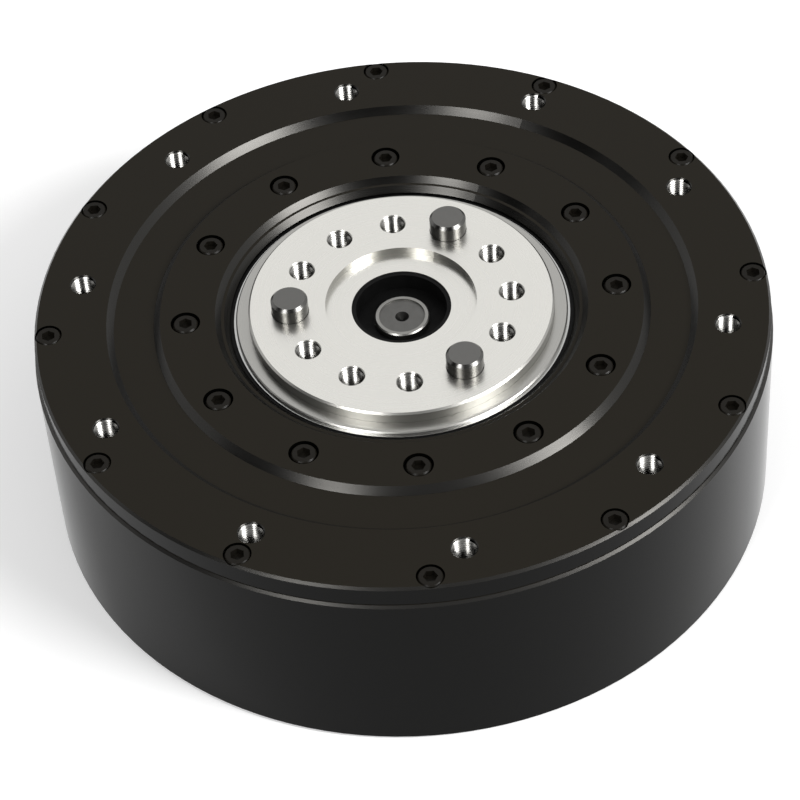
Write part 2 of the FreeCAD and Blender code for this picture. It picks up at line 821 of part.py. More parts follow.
def make_casing_screws():
    socket_screws(
        "front_cover_screws", "outer_screw_circle", "front_face - outer_head_depth",
        "screw_length", "screw_count",
    )
    socket_screws(
        "bearing_cap_screws", "cap_screw_circle", "front_face - cap_head_depth",
        "cap_screw_length", "screw_count",
    )
    flat_screws(
        "rear_cover_screws", "rear_screw_circle", "flat_head_sink", "screw_radius", "flat_head",
        "flat_head_height", "rear_screw_length", "rear_screw_count", angle=HOLE_STEP,
    )


# Reducer
def make_ring_gear():
    module = value("gear_module")
    height = value("ring_top - ring_bottom")
    teeth = round(value("ring_teeth"))
    phase = math.pi / teeth
    hollow = gear_face(teeth, module, value("tooth_play"), inside=True, start=phase)
    blank = Part.makeCylinder(value("ring_radius"), height)
    shape = blank.cut(hollow.extrude(FreeCAD.Vector(0, 0, height)))
    hole = Part.makeCylinder(value("lock_pin_radius + seat_gap"), height)
    count = round(value("lock_pin_count"))
    for number in range(count):
        angle = math.radians(HOLE_STEP + TURN / count * number)
        copy = hole.copy()
        copy.translate(polar(value("tube_bore"), angle))
        shape = shape.cut(copy)
    gear = keep(gear_solid("ring_gear", shape), "ring_gear")
    bind(gear, "Placement.Base.z", "ring_bottom")
    body = new_body("ring_gear_pins")
    sketch = disc(flat_sketch(body, "ring_bottom", "tube_bore", HOLE_STEP), "lock_pin_radius")
    spread(body, [raise_pad(body, sketch, "ring_top - ring_bottom")], "lock_pin_count")


def make_planets():
    module = value("gear_module")
    teeth = round(value("planet_teeth"))
    height = value("planet_top - planet_bottom")
    for number in range(PLANETS):
        angle = PLANET_STEP * number
        start = planet_phase(angle, teeth)
        face = gear_face(teeth, module, value("tooth_play"), start=start)
        shape = face.extrude(FreeCAD.Vector(0, 0, height))
        shape = shape.cut(Part.makeCylinder(value("bush_radius + seat_gap"), height))
        gear = keep(gear_solid(f"planet_gear_{number + 1}", shape), f"planet_gear_{number + 1}")
        bind(gear, "Placement.Base.x", f"planet_circle * cos({angle})")
        bind(gear, "Placement.Base.y", f"planet_circle * sin({angle})")
        bind(gear, "Placement.Base.z", "planet_bottom")
        turned(f"planet_bush_{number + 1}", [
            ("bush_bore", "planet_bottom"),
            ("bush_radius", "planet_bottom"),
            ("bush_radius", "planet_top"),
            ("bush_bore", "planet_top"),
        ], "planet_circle", angle)


def planet_phase(angle, teeth):
    """Turn a planet so that a tooth space meets the sun's tooth on the line of centres."""
    sun = round(value("sun_teeth"))
    carried = math.radians(angle)
    sun_offset = carried * sun % (2 * math.pi)
    facing = carried + math.pi
    return facing + math.pi / teeth + sun_offset / teeth


def make_carrier():
    pins, turn = turned("planet_pins", [
        ("0", "carrier_bottom"),
        ("axle_radius", "carrier_bottom"),
        ("axle_radius", "flange_face"),
        ("pin_radius", "flange_face"),
        ("pin_radius", "pin_top - pin_chamfer"),
        ("pin_radius - pin_chamfer", "pin_top"),
        ("0", "pin_top"),
    ], "planet_circle")
    spread(pins, [turn], str(PLANETS))

    plate, _ = turned("carrier_plate", [
        ("carrier_bore", "carrier_bottom"),
        ("carrier_radius", "carrier_bottom"),
        ("carrier_radius", "carrier_top"),
        ("carrier_bore", "carrier_top"),
    ])
    drill(
        plate, "axle_radius + seat_gap", "carrier_top", "carrier_thickness",
        "planet_circle", str(PLANETS),
    )
    countersinks(plate, *CARRIER_SCREW, str(PLANETS), angle=PILLAR_ANGLE)
    flat_screws("carrier_screws", *CARRIER_SCREW, str(PLANETS), angle=PILLAR_ANGLE)

    washers, lower = turned("thrust_washers", washer_corners("carrier_top"), "planet_circle")
    upper_sketch = outline(
        upright_sketch(washers, "planet_circle"), washer_corners("flange_bottom - washer_thickness")
    )
    upper = turn_about(washers, upper_sketch)
    spread(washers, [lower, upper], str(PLANETS))


def washer_corners(bottom):
    top = f"{bottom} + washer_thickness"
    return [
        ("axle_radius + seat_gap", bottom),
        ("washer_radius", bottom),
        ("washer_radius", top),
        ("axle_radius + seat_gap", top),
    ]


def make_output_flange():
    body, _ = turned("output_flange", [
        ("sun_bearing_radius + seat_gap", "flange_bottom"),
        ("shoulder_radius", "flange_bottom"),
        ("shoulder_radius", "output_bearing_bottom"),
        ("output_bearing_bore - seat_gap", "output_bearing_bottom"),
        ("output_bearing_bore - seat_gap", "output_bearing_top"),
        ("flange_radius", "output_bearing_top"),
        ("flange_radius", "flange_face - flange_chamfer"),
        ("flange_radius - flange_chamfer", "flange_face"),
        ("recess_radius", "flange_face"),
        ("recess_radius", "recess_floor"),
        ("output_bore", "recess_floor"),
        ("output_bore", "sun_bearing_top"),
        ("sun_bearing_radius + seat_gap", "sun_bearing_top"),
    ])
    pillars = disc(flat_sketch(body, "carrier_top", "pillar_circle", PILLAR_ANGLE), "pillar_radius")
    spread(body, [raise_pad(body, pillars, "flange_bottom - carrier_top")], str(PLANETS))
    axle_hole = "axle_radius + seat_gap"
    drill(body, axle_hole, "flange_face", "flange_face - flange_bottom", "planet_circle", str(PLANETS))
    mouth_chamfer(body, axle_hole, "pin_hole_chamfer", "flange_face", "planet_circle", str(PLANETS))
    pillar_holes = disc(
        flat_sketch(body, "carrier_top", "pillar_circle", PILLAR_ANGLE), "carrier_screw_radius + seat_gap"
    )
    depth = "carrier_screw_length - carrier_thickness + flat_head_sink + seat_gap"
    spread(body, [cut_down(body, pillar_holes, depth, upwards=True)], str(PLANETS))
    for angle in (HOLE_STEP, 2 * HOLE_STEP, 3 * HOLE_STEP):
        drill(body, "output_hole", "flange_face", "output_depth", "planet_circle", str(PLANETS), angle)
        mouth_chamfer(
            body, "output_hole", "thread_chamfer", "flange_face", "planet_circle", str(PLANETS), angle
        )


# Bearings
def make_bearing(name, bore, radius, section, bottom, top, middle, ball, circle, count):
    """A deep-groove ball bearing: two grooved rings, balls and a crown cage."""
    groove = f"{ball} + race_gap"
    for part, inner, outer in (
        ("inner", bore, f"{bore} + {section}"),
        ("outer", f"{radius} - {section}", radius),
    ):
        body, _ = turned(f"{name}_bearing_{part}_ring", [
            (inner, bottom), (outer, bottom), (outer, top), (inner, top),
        ])
        turn_about(body, disc(upright_sketch(body), groove, circle, middle), "Groove")
    body = new_body(f"{name}_bearing_balls")
    sphere = body.newObject("PartDesign::AdditiveSphere", f"{name}_ball")
    sphere.AttachmentSupport = [(origin(body, "XY_Plane"), "")]
    sphere.MapMode = "FlatFace"
    bind(sphere, "Radius", ball)
    bind(sphere, "AttachmentOffset.Base.x", circle)
    bind(sphere, "AttachmentOffset.Base.z", middle)
    spread(body, [sphere], count)
    cage_low = f"{middle} - {CAGE_BACK} * {ball}"
    cage_high = f"{middle} + {CAGE_FRONT} * {ball}"
    cage_in = f"{circle} - {CAGE_HALF_WIDTH} * {ball}"
    cage_out = f"{circle} + {CAGE_HALF_WIDTH} * {ball}"
    body, _ = turned(f"{name}_bearing_cage", [
        (cage_in, cage_low), (cage_out, cage_low), (cage_out, cage_high), (cage_in, cage_high),
    ])
    drill(body, groove, cage_high, f"{CAGE_POCKET} * {ball}", circle, count)


def make_bearings():
    make_bearing(
        "output", "output_bearing_bore", "output_bearing_radius", "ring_section",
        "output_bearing_bottom", "output_bearing_top", "output_bearing_middle",
        "output_ball", "output_ball_circle", "output_ball_count",
    )
    make_bearing(
        "sun", "shaft_radius", "sun_bearing_radius", "sun_ring_section",
        "sun_bearing_bottom", "sun_bearing_top", "sun_bearing_middle",
        "sun_ball", "sun_ball_circle", "sun_ball_count",
    )
    make_bearing(
        "rear", "rear_journal", "rear_bearing_radius", "rear_ring_section",
        "rear_bearing_bottom", "web_height", "rear_bearing_middle",
        "rear_ball", "rear_ball_circle", "rear_ball_count",
    )
    clamp_top = "output_bearing_top + clamp_ring_height"
    turned("output_clamp_ring", [
        ("flange_radius + seat_gap", "output_bearing_top"),
        ("flange_radius + clamp_ring_width", "output_bearing_top"),
        ("flange_radius + clamp_ring_width", f"{clamp_top} - edge_break / 2"),
        ("flange_radius + clamp_ring_width - edge_break / 2", clamp_top),
        ("flange_radius + seat_gap", clamp_top),
    ])
    seal_top = "output_bearing_top - seal_sink"
    turned("output_bearing_seal", [
        ("output_bearing_bore + ring_section + running_gap", f"{seal_top} - seal_thickness"),
        ("output_bearing_radius - ring_section", f"{seal_top} - seal_thickness"),
        ("output_bearing_radius - ring_section", seal_top),
        ("output_bearing_bore + ring_section + running_gap", seal_top),
    ])
    turned("shaft_seal", [
        ("shaft_radius + running_gap", "sun_bearing_top"),
        ("output_bore - seat_gap", "sun_bearing_top"),
        ("output_bore - seat_gap", "recess_floor - shaft_seal_sink"),
        ("output_bore - shaft_seal_wall", "recess_floor - shaft_seal_sink"),
        ("output_bore - shaft_seal_wall", "sun_bearing_top + shaft_seal_thickness"),
        ("shaft_radius + running_gap", "sun_bearing_top + shaft_seal_thickness"),
    ])


# Rotor
def make_sun_shaft():
    shaft = doc.addObject("PartDesign::Body", "shaft_blank")
    turn_about(shaft, outline(upright_sketch(shaft), [
        ("0", "shaft_bottom + encoder_magnet_height"),
        ("encoder_magnet_radius + seat_gap", "shaft_bottom + encoder_magnet_height"),
        ("encoder_magnet_radius + seat_gap", "shaft_bottom"),
        ("rear_journal - seat_gap", "shaft_bottom"),
        ("rear_journal - seat_gap", "web_height"),
        ("hub_boss_radius", "web_height"),
        ("hub_boss_radius", "hub_flange_bottom"),
        ("hub_flange_radius", "hub_flange_bottom"),
        ("hub_flange_radius", "disc_bottom"),
        ("hub_pilot", "disc_bottom"),
        ("hub_pilot", "disc_top"),
        ("sun_root", "disc_top"),
        ("sun_root", "sun_bearing_bottom"),
        ("shaft_radius - seat_gap", "sun_bearing_bottom"),
        ("shaft_radius - seat_gap", "shaft_end - shaft_chamfer"),
        ("shaft_radius - seat_gap - shaft_chamfer", "shaft_end"),
        ("shaft_recess", "shaft_end"),
        ("shaft_recess", "shaft_recess_floor"),
        ("centre_drill", "shaft_recess_floor"),
        ("0", "shaft_recess_floor - centre_drill"),
    ]))
    holes = disc(flat_sketch(shaft, "disc_bottom", "hub_screw_circle"), "screw_hole")
    spread(shaft, [cut_down(shaft, holes, "hub_flange_height")], "hub_screw_count")
    face = gear_face(round(value("sun_teeth")), value("gear_module"), value("tooth_play"))
    height = value("planet_top - planet_bottom")
    teeth = gear_solid("sun_teeth_blank", face.extrude(FreeCAD.Vector(0, 0, height)))
    bind(teeth, "Placement.Base.z", "planet_bottom")
    sun = doc.addObject("Part::Fuse", "sun_shaft")
    sun.Base = shaft
    sun.Tool = teeth
    keep(sun, "sun_shaft")
    turned("encoder_magnet", [
        ("0", "shaft_bottom"),
        ("encoder_magnet_radius", "shaft_bottom"),
        ("encoder_magnet_radius", "shaft_bottom + encoder_magnet_height"),
        ("0", "shaft_bottom + encoder_magnet_height"),
    ])


def make_rotor():
    cup, _ = turned("rotor_cup", [
        ("hub_pilot + seat_gap", "disc_bottom"),
        ("rotor_outside", "disc_bottom"),
        ("rotor_outside", "rotor_top"),
        ("rotor_inside", "rotor_top"),
        ("rotor_inside", "disc_top"),
        ("hub_pilot + seat_gap", "disc_top"),
    ])
    drill(cup, "rotor_window", "disc_top", "rotor_disc", "rotor_window_circle", "rotor_window_count")
    countersinks(cup, *HUB_SCREW, "hub_screw_count", upwards=False)
    flat_screws("rotor_hub_screws", *HUB_SCREW, "hub_screw_count", upwards=False)
    magnets, _ = turned("rotor_magnets", [
        ("rotor_outside + seat_gap", "magnet_bottom"),
        ("magnet_outside", "magnet_bottom"),
        ("magnet_outside", "magnet_top"),
        ("rotor_outside + seat_gap", "magnet_top"),
    ])
    gaps = flat_sketch(magnets, "magnet_top", "rotor_outside + magnet_thickness / 2")
    outline(gaps, box_corners("2 * magnet_thickness", "magnet_spacing"))
    spread(magnets, [cut_down(magnets, gaps, "magnet_top - magnet_bottom")], "magnet_count")


# Stator
def slot_half_width(radius):
    return f"({radius}) * tan(180 / slot_count) - tooth_width / 2 / cos(180 / slot_count)"


def make_stator():
    core, _ = turned("stator_core", [
        ("stator_bore", "stator_start"),
        ("stator_radius", "stator_start"),
        ("stator_radius", "stator_top"),
        ("stator_bore", "stator_top"),
    ])
    narrow = slot_half_width("slot_top")
    wide = slot_half_width("slot_bottom")
    slots = flat_sketch(core, "stator_top")
    slots.AttachmentOffset = FreeCAD.Placement(
        FreeCAD.Vector(), FreeCAD.Rotation(FreeCAD.Vector(0, 0, 1), 180 / value("slot_count"))
    )
    bind(slots, "AttachmentOffset.Base.z", "stator_top")
    outline(slots, [
        ("stator_bore - tooth_tip", "-slot_opening / 2"),
        ("slot_top", "-slot_opening / 2"),
        ("slot_top", f"-({narrow})"),
        ("slot_bottom", f"-({wide})"),
        ("slot_bottom", wide),
        ("slot_top", narrow),
        ("slot_top", "slot_opening / 2"),
        ("stator_bore - tooth_tip", "slot_opening / 2"),
    ])
    spread(core, [cut_down(core, slots, "stator_stack")], "slot_count")

    coils = new_body("stator_coils")
    inner_width = "tooth_width + 2 * coil_gap"
    inner_height = "stator_stack + 2 * coil_gap"
    sketch = facing_sketch(coils, "slot_top + coil_gap", "(stator_start + stator_top) / 2")
    outline(sketch, box_corners(inner_width, inner_height))
    outline(sketch, box_corners(f"{inner_width} + 2 * coil_side", f"{inner_height} + 2 * coil_end"))
    winding = raise_pad(coils, sketch, "slot_bottom - slot_top - 4 * coil_gap")
    spread(coils, [winding], "slot_count")

    terminals = new_body("phase_terminals")
    bar = disc(flat_sketch(terminals, "board_top", "terminal_circle", TERMINAL_ANGLE), "terminal_radius")
    height = "stator_start - coil_gap - coil_end - board_top"
    spread(terminals, [raise_pad(terminals, bar, height)], "phase_count")


# Electronics behind the web
def make_electronics():
    board, _ = turned("driver_board", [
        ("0", "board_bottom"),
        ("board_radius", "board_bottom"),
        ("board_radius", "board_top"),
        ("0", "board_top"),
    ])
    drill(
        board, "small_screw_radius + seat_gap", "board_top", "board_thickness",
        "board_screw_circle", "board_screw_count", BOARD_SCREW_ANGLE,
    )
    screws, turn = turned("board_screws", [
        ("0", "board_bottom - small_screw_head_height"),
        ("small_screw_head", "board_bottom - small_screw_head_height"),
        ("small_screw_head", "board_bottom"),
        ("small_screw_radius", "board_bottom"),
        ("small_screw_radius", "board_bottom + small_screw_length"),
        ("0", "board_bottom + small_screw_length"),
    ], "board_screw_circle", BOARD_SCREW_ANGLE)
    spread(screws, [turn], "board_screw_count")
    block("encoder_chip", "board_top", "encoder_chip_side", "encoder_chip_side", "encoder_chip_height")
    block("controller_chip", "chip_bottom", "controller_side", "controller_side", "chip_thickness",
          "-(controller_place)")
    stages = new_body("power_stages")
    sketch = flat_sketch(stages, "chip_bottom", "power_stage_circle", HOLE_STEP)
    outline(sketch, box_corners("power_stage_width", "power_stage_length"))
    spread(stages, [raise_pad(stages, sketch, "chip_thickness")], "power_stage_count")
    cans = new_body("capacitors")
    can_sketch = flat_sketch(cans, "board_bottom - capacitor_height", "capacitor_circle", HOLE_STEP)
    can = disc(can_sketch, "capacitor_radius")
    spread(cans, [raise_pad(cans, can, "capacitor_height")], "power_stage_count")
    for label, (length, across) in SOCKETS.items():
        make_socket(label, length, across)
    make_contacts()


def make_socket(label, length, across):
    """An open-ended shell that stands on the board and faces the rear."""
    shell = block(label, "socket_end", "socket_width", length, "board_bottom - socket_end",
                  "socket_place", across)
    mouth = flat_sketch(shell, "socket_end", "socket_place")
    bind(mouth, "AttachmentOffset.Base.y", across)
    outline(mouth, box_corners("socket_width - 2 * socket_wall", f"{length} - 2 * socket_wall"))
    cut_down(shell, mouth, "board_bottom - socket_end - socket_floor", upwards=True)


def make_contacts():
    """Contact pins that stand on the floors of the sockets."""
    contacts = new_body("socket_contacts")
    for length, across in SOCKETS.values():
        for side in ("-", "+"):
            place = f"{across} {side} {length} * contact_spread"
            sketch = flat_sketch(contacts, "socket_end + socket_wall", "socket_place")
            bind(sketch, "AttachmentOffset.Base.y", place)
            raise_pad(contacts, disc(sketch, "contact_radius"),
                      "board_bottom - socket_floor - socket_end - socket_wall")


make_barrel()
make_front_cover()
make_bearing_cap()
make_rear_cover()
make_casing_screws()
make_ring_gear()
make_planets()
make_carrier()
make_output_flange()
make_bearings()
make_sun_shaft()
make_rotor()
make_stator()
make_electronics()
doc.recompute()

# Every object must be sound before any file is written
failed = [thing.Label for thing in doc.Objects if {"Invalid", "Error"} & set(thing.State)]
failed += [node.Label for node in nodes if node.Shape.isNull() or not node.Shape.isValid()]
if failed:
    raise SystemExit("unsound: " + ", ".join(failed))

os.makedirs("parts", exist_ok=True)
for node in nodes:
    node.Shape.exportStep(f"parts/{node.Label}.step")
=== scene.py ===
# Robot joint actuator: finishes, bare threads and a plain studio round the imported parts.
# Lengths are metres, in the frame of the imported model: +Z is the output axis and the rear face is at z = 0.

import json
import math

import bmesh
import bpy
from mathutils import Matrix, Vector


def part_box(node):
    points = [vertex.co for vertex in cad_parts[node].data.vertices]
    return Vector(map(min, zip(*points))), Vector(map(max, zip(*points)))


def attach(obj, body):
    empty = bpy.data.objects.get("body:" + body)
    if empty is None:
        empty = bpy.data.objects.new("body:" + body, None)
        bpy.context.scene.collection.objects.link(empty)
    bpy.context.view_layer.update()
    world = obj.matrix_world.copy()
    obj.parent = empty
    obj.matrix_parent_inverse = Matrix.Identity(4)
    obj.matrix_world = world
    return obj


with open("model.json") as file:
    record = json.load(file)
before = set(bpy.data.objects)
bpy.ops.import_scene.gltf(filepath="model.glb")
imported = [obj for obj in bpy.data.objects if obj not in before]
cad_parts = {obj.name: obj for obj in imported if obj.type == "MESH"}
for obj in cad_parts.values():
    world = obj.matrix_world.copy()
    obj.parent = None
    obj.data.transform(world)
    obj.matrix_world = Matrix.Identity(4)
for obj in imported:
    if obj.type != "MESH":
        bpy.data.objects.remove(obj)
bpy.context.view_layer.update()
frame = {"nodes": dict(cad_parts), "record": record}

MM = 0.001
MICRON = 0.000001
TURN = 2 * math.pi
WHITE = (1, 1, 1, 1)
BLACK = (0, 0, 0, 1)

# The casing, its tapped holes and those of the output flange between its pins
mounts = {mount["name"]: mount for mount in frame["record"]["mounts"]}
RIM_BOLTS = mounts["body_bolts"]["dims"]
BODY_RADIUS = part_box("barrel")[1].x
FRONT_FACE = mounts["body_bolts"]["pos_m"][2]
FLANGE_FACE = mounts["output_bolts_square"]["pos_m"][2]
RIM_CIRCLE = RIM_BOLTS["pcd_mm"] / 2 * MM
RIM_ANGLES = [TURN * k / RIM_BOLTS["count"] for k in range(RIM_BOLTS["count"])]
PIN_CIRCLE = mounts["output_pins"]["dims"]["pcd_mm"] / 2 * MM
PIN_COUNT = mounts["output_pins"]["dims"]["count"]
HOLES_PAST_PIN = [math.radians(a) for a in (30, 60, 90)]
OUTPUT_ANGLES = [TURN * k / PIN_COUNT + a for k in range(PIN_COUNT) for a in HOLES_PAST_PIN]
HOLE_RADIUS = RIM_BOLTS["hole_r_mm"] * MM

# The photograph's camera, measured from the front face with the casing's radius as the unit
CAMERA_TURN = math.radians(-61.2)
CAMERA_ELEVATION = math.radians(47.1933)
CAMERA_ROLL = math.radians(4.3039)
CAMERA_DISTANCE = 8.3034
CAMERA_RIGHT = 0.0227
CAMERA_UP = 0.2592
FOCAL_PIXELS = 3077.181
IMAGE_PIXELS = 800
SENSOR_MM = 36

# Detail of the noises, and the middle range in which most of their values lie
NOISE_DETAIL = 4
RING_DETAIL = 3
NOISE_LOW = 0.35
NOISE_HIGH = 0.65
# Heights of a face's normal, 0 on a wall and 1 on the front, between which a slope and a flat face begin
SLOPE_START = 0.4
SLOPE_END = 0.5
FACE_START = 0.9
FACE_END = 0.98
# Half the width of the border of a round patch
PATCH_BORDER = 0.02 * MM


# Nodes of a material
class Surface:
    """A procedural finish built round one shader."""

    def __init__(self, name):
        self.material = bpy.data.materials.new(name)
        self.material.use_nodes = True
        self.tree = self.material.node_tree
        self.shader = self.tree.nodes["Principled BSDF"]
        texture = self.node("ShaderNodeTexCoord")
        self.coords = texture.outputs["Object"]
        self.normal = texture.outputs["Normal"]

    def node(self, kind, **settings):
        made = self.tree.nodes.new(kind)
        for key, setting in settings.items():
            setattr(made, key, setting)
        return made

    def join(self, source, target):
        self.tree.links.new(source, target)

    def fix(self, socket, constant):
        """Give one of the shader's sockets the same number or colour all over."""
        self.shader.inputs[socket].default_value = constant

    def noise(self, size):
        """Even noise whose blotches are about the given size."""
        made = self.node("ShaderNodeTexNoise")
        made.inputs["Scale"].default_value = 1 / size
        made.inputs["Detail"].default_value = NOISE_DETAIL
        self.join(self.coords, made.inputs["Vector"])
        return made.outputs["Fac"]

    def radius(self):
        """Distance from the output axis."""
        split = self.node("ShaderNodeSeparateXYZ")
        flat = self.node("ShaderNodeCombineXYZ")
        length = self.node("ShaderNodeVectorMath", operation="LENGTH")
        self.join(self.coords, split.inputs[0])
        self.join(split.outputs["X"], flat.inputs["X"])
        self.join(split.outputs["Y"], flat.inputs["Y"])
        self.join(flat.outputs[0], length.inputs[0])
        return length.outputs["Value"]

    def rings(self, spacing):
        """Fine rings about the output axis, such as turning leaves."""
        made = self.node("ShaderNodeTexNoise", noise_dimensions="1D")
        made.inputs["Scale"].default_value = 1 / spacing
        made.inputs["Detail"].default_value = RING_DETAIL
        self.join(self.radius(), made.inputs["W"])
        return made.outputs["Fac"]

    def rise(self, low, high):
        """0 to 1 as the height of a face's normal goes from low to high."""
        split = self.node("ShaderNodeSeparateXYZ")
        self.join(self.normal, split.inputs[0])
        return self.ranged(split.outputs["Z"], 0.0, 1.0, low, high)

    def facing_up(self):
        """1 on faces square to the output axis, 0 on slopes and walls."""
        return self.rise(FACE_START, FACE_END)

    def leaning(self):
        """1 on slopes and walls, 0 on faces square to the output axis."""
        return self.rise(FACE_END, FACE_START)

    def sloping(self):
        """1 on chamfers and other slopes that face up, 0 on flat faces and walls."""
        return self.times(self.rise(SLOPE_START, SLOPE_END), self.leaning())

    def within(self, reach):
        """1 nearer to the output axis than the given radius."""
        return self.ranged(self.radius(), 1.0, 0.0, reach - PATCH_BORDER, reach + PATCH_BORDER)

    def times(self, first, second):
        made = self.node("ShaderNodeMath", operation="MULTIPLY")
        self.join(first, made.inputs[0])
        self.join(second, made.inputs[1])
        return made.outputs[0]

    def recolour(self, where, colour):
        """Paint another colour where a mask is 1."""
        base = self.shader.inputs["Base Color"]
        self.join(self.mixed(where, base.links[0].from_socket, colour), base)

    def roughen(self, where, more):
        """Add to the roughness where a mask is 1."""
        gloss = self.shader.inputs["Roughness"]
        made = self.node("ShaderNodeMath", operation="MULTIPLY_ADD")
        made.inputs[1].default_value = more
        self.join(where, made.inputs[0])
        self.join(gloss.links[0].from_socket, made.inputs[2])
        self.join(made.outputs[0], gloss)

    def ranged(self, source, low, high, start=NOISE_LOW, end=NOISE_HIGH):
        """Map the values of a pattern from start to end to the numbers low to high."""
        made = self.node("ShaderNodeMapRange")
        for key, number in (("From Min", start), ("From Max", end), ("To Min", low), ("To Max", high)):
            made.inputs[key].default_value = number
        self.join(source, made.inputs["Value"])
        return made.outputs["Result"]

    def mixed(self, factor, first, second):
        """A colour between two colours, each a tuple or a socket."""
        made = self.node("ShaderNodeMix", data_type="RGBA")
        self.join(factor, made.inputs["Factor"])
        for key, colour in (("A", first), ("B", second)):
            socket = next(i for i in made.inputs if i.name == key and i.type == "RGBA")
            if isinstance(colour, tuple):
                socket.default_value = (*colour, 1)
            else:
                self.join(colour, socket)
        return next(o for o in made.outputs if o.type == "RGBA")

    def bump(self, pattern, depth):
        """Raise the surface by a pattern."""
        made = self.node("ShaderNodeBump")
        made.inputs["Distance"].default_value = depth
        self.join(pattern, made.inputs["Height"])
        self.join(made.outputs["Normal"], self.shader.inputs["Normal"])


def wear(piece, surface):
    piece.data.materials.clear()
    piece.data.materials.append(surface.material)


# Finishes
def shaded(colour, share):
    return tuple(min(1.0, c * share) for c in colour)


# The gloss is uneven at a finer scale than the colour
GLOSS_FINENESS = 3


def plain_finish(name, colour, roughness, metallic=0.0, blotch=4 * MM, grain=0.15 * MM, depth=2 * MICRON,
                 variation=0.12, unevenness=0.15, turned=False):
    """A finish with uneven colour and gloss and a fine grain, the last two in rings on a turned part."""
    surface = Surface(name)
    surface.fix("Metallic", metallic)
    tint = surface.mixed(surface.noise(blotch), shaded(colour, 1 - variation), shaded(colour, 1 + variation))
    surface.join(tint, surface.shader.inputs["Base Color"])
    pattern = surface.rings if turned else surface.noise
    low = roughness * (1 - unevenness)
    high = roughness * (1 + unevenness)
    gloss = surface.ranged(pattern(blotch / GLOSS_FINENESS), low, high)
    surface.join(gloss, surface.shader.inputs["Roughness"])
    surface.bump(pattern(grain), depth)
    return surface


# The record's material slots, and thread_metal for the thread inserts
FINISHES = {
    "black_anodised": dict(colour=(0.0012, 0.0012, 0.001), roughness=0.12, turned=True, depth=0.3 * MICRON),
    "black_screw": dict(colour=(0.009, 0.0078, 0.006), roughness=0.3),
    "machined_aluminium": dict(colour=(0.73, 0.72, 0.68), roughness=0.28, metallic=1.0, turned=True,
                               variation=0.015, unevenness=0.05, depth=0.25 * MICRON),
    "ground_steel": dict(colour=(0.5, 0.5, 0.49), roughness=0.22, metallic=1.0, variation=0.05),
    "thread_metal": dict(colour=(0.26, 0.256, 0.244), roughness=0.25, metallic=1.0, variation=0.04),
    "gear_steel": dict(colour=(0.36, 0.36, 0.36), roughness=0.34, metallic=1.0),
    "bronze": dict(colour=(0.6, 0.4, 0.2), roughness=0.35, metallic=1.0),
    "seal_rubber": dict(colour=(0.003, 0.003, 0.003), roughness=0.55, grain=0.3 * MM, depth=6 * MICRON),
    "cage_nylon": dict(colour=(0.5, 0.45, 0.33), roughness=0.45),
    "lamination": dict(colour=(0.2, 0.2, 0.22), roughness=0.4, metallic=1.0),
    "magnet": dict(colour=(0.55, 0.55, 0.53), roughness=0.25, metallic=1.0),
    "copper": dict(colour=(0.72, 0.35, 0.18), roughness=0.3, metallic=1.0),
    "board": dict(colour=(0.015, 0.09, 0.045), roughness=0.35),
    "chip": dict(colour=(0.02, 0.02, 0.02), roughness=0.5),
    "socket": dict(colour=(0.72, 0.69, 0.58), roughness=0.42),
}
# The specular levels of the finishes that are duller than plain paint
SPECULAR = {"black_anodised": 0.064, "black_screw": 0.1, "seal_rubber": 0.1}

# Painted light on the black parts: the front faces are a little paler and warmer than the barrel, and the
# slopes get a stronger, metal-like reflection, a painted sheen that brightens the lamps' highlights on the
# broken edges
FACE_BLACK_PAINTED_LIGHT = (0.0145, 0.0125, 0.009)
EDGE_BLACK_PAINTED_SHEEN = (0.036, 0.035, 0.033)
EDGE_ROUGHNESS = 0.14
# The walls of the output flange, darker than its faces as painted shade
ALUMINIUM_WALL_PAINTED_SHADE = (0.36, 0.355, 0.335)
# The clamp ring, the walls of the pins and the rim of the shaft's end, in that order
GREY_STEEL = (0.4, 0.395, 0.375)
PIN_STEEL = (0.11, 0.1085, 0.104)
SHAFT_STEEL = (0.28, 0.276, 0.262)
SHAFT_ROUGHNESS = 0.35
# The ends of the pins, and the shallow recess in the shaft's end with its centre drilling, which is painted
# near black as painted shade
DULL_STEEL = (0.15, 0.148, 0.142)
DULL_ROUGHNESS = 0.2
SHAFT_RECESS = 3.72 * MM
CENTRE_DRILL = 1.12 * MM
DRILL_PAINTED_SHADE = (0.02, 0.0195, 0.0185)
DRILL_ROUGHNESS = 0.3


def paint_light_and_sheen(surface):
    """Painted light on a black part: paler front faces, and a painted sheen of stronger reflection on its
    slopes and broken edges.
    """
    edges = surface.sloping()
    # Painted light: the front faces are paler than the walls
    surface.recolour(surface.facing_up(), FACE_BLACK_PAINTED_LIGHT)
    # Painted sheen: the slopes reflect more strongly than the faces and walls
    surface.recolour(edges, EDGE_BLACK_PAINTED_SHEEN)
    surface.roughen(edges, EDGE_ROUGHNESS)
    surface.join(edges, surface.shader.inputs["Metallic"])


def dulled_steel(name, reach=None, **changes):
    """Ground steel with dull end faces, out to a radius if one is given."""
    surface = plain_finish(name, **{**FINISHES["ground_steel"], **changes})
    dull = surface.facing_up()
    if reach:
        dull = surface.times(dull, surface.within(reach))
    surface.recolour(dull, DULL_STEEL)
    surface.roughen(dull, DULL_ROUGHNESS)
    return surface


def shaft_steel():
    """Steel of the sun shaft, with a dull recess in its end and painted shade in the centre drilling."""
    surface = dulled_steel("shaft_steel", SHAFT_RECESS, colour=SHAFT_STEEL, roughness=SHAFT_ROUGHNESS)
    drilling = surface.within(CENTRE_DRILL)
    # Painted shade: the centre drilling is near black
    surface.recolour(drilling, DRILL_PAINTED_SHADE)
    surface.roughen(drilling, DRILL_ROUGHNESS)
    return surface


